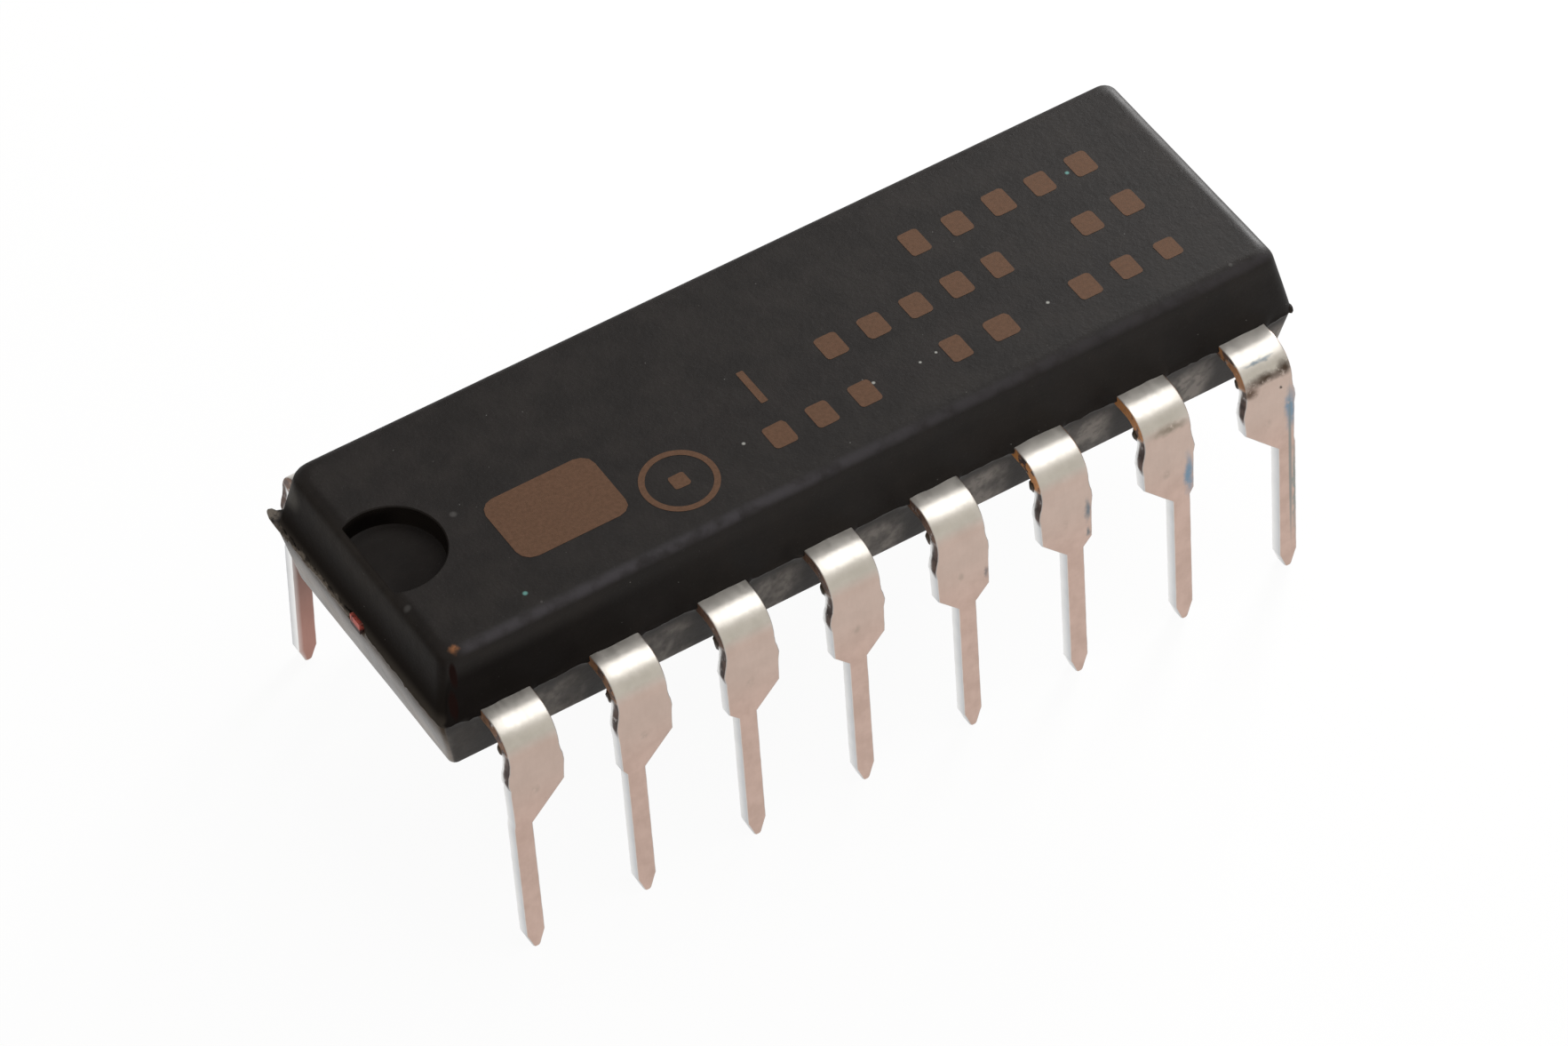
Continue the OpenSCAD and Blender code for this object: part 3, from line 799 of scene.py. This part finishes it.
def lump(name, centre, radii, seed):
    """A small closed lump of resin with an uneven surface."""
    bm = bmesh.new()
    bmesh.ops.create_icosphere(bm, subdivisions=3, radius=1.0)
    verts = []
    for v in bm.verts:
        k = 1 + 0.28 * wobble(v.co.x * 1.6 + seed, v.co.y * 1.6, v.co.z * 1.6)
        verts.append([middle + along * radius * k for middle, along, radius in zip(centre, v.co, radii)])
    faces = [tuple(v.index for v in f.verts) for f in bm.faces]
    bm.free()
    make_object(name, verts, faces, [resin], smooth_below=60)


def build_lumps():
    """Moulding crumbs: one behind each near lead's left flank, nine along the notched end, one at the plain
    end. Then the ear of flash at the notched end's far corner."""
    for i in range(1, 9):
        x = wide_x(i) - NECK_W / 2
        size = 0.8 + 0.4 * wobble(i * 4.3, 1.0)
        lump(f"crumb_{i:02d}", (x + 0.04, -3.97, 5.35), (0.08 * size, 0.15 * size, 0.21 * size), i * 7.0)
    for k in range(9):
        y = 2.75 - 0.30 * k + 0.07 * wobble(k * 1.9, 4.0)
        size = 1.0 + 0.6 * wobble(k * 2.7, 8.0)
        lump(f"flash_crumb_{k + 1}", (-9.838, y, PART_Z + 0.04), (0.028, 0.12 * size, 0.085 * size), 30.0 + k)
    lump("crumb_plain_end", (9.78, -3.12, 5.73), (0.07, 0.11, 0.09), 3.0)
    ear = [(-9.50, 2.60), (-9.87, 2.60), (-9.872, 3.05), (-9.865, 3.32), (-9.83, 3.46),
           (-9.78, 3.50), (-9.71, 3.47), (-9.66, 3.38), (-9.56, 3.33), (-9.40, 3.24)]
    verts, faces = prism(ear, PART_Z - 0.045, PART_Z + 0.035)
    verts = [(x, y, z + 0.02 * wobble(x * 9, y * 9)) for x, y, z in verts]
    make_object("flash_ear", verts, faces, [resin])


def build_stage():
    """A white floor that keeps shadows. Rays from the camera and off shiny parts see it mostly as glow."""
    half_floor, glow_share, white = 1500.0, 0.94, (0.88, 0.88, 0.88)
    mesh = bpy.data.meshes.new("floor")
    mesh.from_pydata([Vector((x, y, 0)) * MM * half_floor for x, y in ((-1, -1), (1, -1), (1, 1), (-1, 1))],
                     [], [(0, 1, 2, 3)])
    floor = bpy.data.objects.new("floor", mesh)
    bpy.context.scene.collection.objects.link(floor)
    material = bpy.data.materials.new("white_floor")
    n = Tree(material, "ShaderNodeOutputMaterial")
    diffuse = n.new("ShaderNodeBsdfDiffuse")
    n.link(rgba(white), diffuse.inputs["Color"])
    glow = n.new("ShaderNodeEmission")
    n.link(1.0, glow.inputs["Strength"])
    rays = n.new("ShaderNodeLightPath").outputs
    seen = n.math("ADD", rays["Is Camera Ray"], rays["Is Glossy Ray"])
    seen = n.math("ADD", seen, rays["Is Transmission Ray"], clamp=True)
    mix = n.new("ShaderNodeMixShader")
    n.link(n.times(seen, glow_share), mix.inputs[0])
    n.link(diffuse.outputs[0], mix.inputs[1])
    n.link(glow.outputs[0], mix.inputs[2])
    n.link(mix.outputs[0], n.out.inputs["Surface"])
    mesh.materials.append(material)


def build_world():
    """Soft surroundings, warm and bright on the near side, grey on the far side."""
    world = bpy.data.worlds.new("studio")
    bpy.context.scene.world = world
    n = Tree(world, "ShaderNodeOutputWorld")
    across = n.axis(n.new("ShaderNodeTexCoord").outputs["Generated"], 1)
    tone = n.new("ShaderNodeValToRGB")
    near, far = tone.color_ramp.elements
    near.position, near.color = 0.0, (0.88, 0.84, 0.76, 1)
    far.position, far.color = 1.0, (0.34, 0.34, 0.35, 1)
    tone.color_ramp.elements.new(0.5).color = (0.72, 0.70, 0.68, 1)
    n.link(n.ramp(across, -1.0, 1.0, smooth=False), tone.inputs[0])
    back = n.new("ShaderNodeBackground")
    n.link(tone.outputs[0], back.inputs["Color"])
    n.link(0.8, back.inputs["Strength"])
    n.link(back.outputs[0], n.out.inputs["Surface"])


def area_lamp(name, place, target, size, radiance):
    """A rectangular lamp whose face has the same brightness whatever its size."""
    data = bpy.data.lights.new(name, "AREA")
    data.shape = "RECTANGLE"
    data.size, data.size_y = size[0] * MM, size[1] * MM
    data.energy = radiance * math.pi * data.size * data.size_y
    lamp = bpy.data.objects.new(name, data)
    lamp.location = Vector(place) * MM
    lamp.rotation_mode = "QUATERNION"
    lamp.rotation_quaternion = (Vector(target) - Vector(place)).to_track_quat("-Z", "Y")
    bpy.context.scene.collection.objects.link(lamp)
    return lamp


def build_camera():
    """The photograph's camera, fitted to it: angles in degrees, offsets and distance in millimetres."""
    azimuth, elevation, roll = (math.radians(v) for v in (-30.678, 47.872, -2.397))
    offset, distance = (0.252, -1.706), 154.631
    focal_px, frame_px, sensor = 8624.3, 1765, 36
    back = Vector((math.sin(azimuth) * math.cos(elevation), -math.cos(azimuth) * math.cos(elevation),
                   math.sin(elevation)))
    right = Vector((math.cos(azimuth), math.sin(azimuth), 0))
    up = back.cross(right)
    turned = Matrix((right * math.cos(roll) + up * math.sin(roll),
                     up * math.cos(roll) - right * math.sin(roll), back)).transposed()
    data = bpy.data.cameras.new("camera")
    data.sensor_fit, data.sensor_width = "HORIZONTAL", sensor
    data.lens = sensor * focal_px / frame_px
    data.clip_start, data.clip_end = 0.005, 10
    camera = bpy.data.objects.new("camera", data)
    bpy.context.scene.collection.objects.link(camera)
    place = turned @ Vector((-offset[0], -offset[1], distance)) * MM
    camera.matrix_world = Matrix.Translation(place) @ turned.to_4x4()
    bpy.context.scene.camera = camera


build_body()
for k in range(1, 9):
    if k not in GROUND_LEADS:
        build_lead(f"lead_{k:02d}", [(k, False)])
        build_lead(f"lead_{k + 8:02d}", [(k, True)])
build_lead("ground_frame", [(k, far) for far in (False, True) for k in GROUND_LEADS])
build_marking()
build_lumps()
for node, obj in nodes.items():
    look = {"silicon_die": silicon, "die_attach": attach}.get(node, gold if node.startswith("bond") else None)
    if look:
        obj.data.materials.clear()
        obj.data.materials.append(look)
build_stage()
build_world()
area_lamp("softbox", place=(39, 0, 105), target=(0, 0, 0), size=(100, 85), radiance=1.9)
side_lamp = area_lamp("side_light", place=(46, 26, 20), target=(0, 0, 6), size=(16, 16), radiance=36.0)
side_lamp.visible_camera = False
build_camera()
bpy.context.scene.view_settings.view_transform = "Standard"
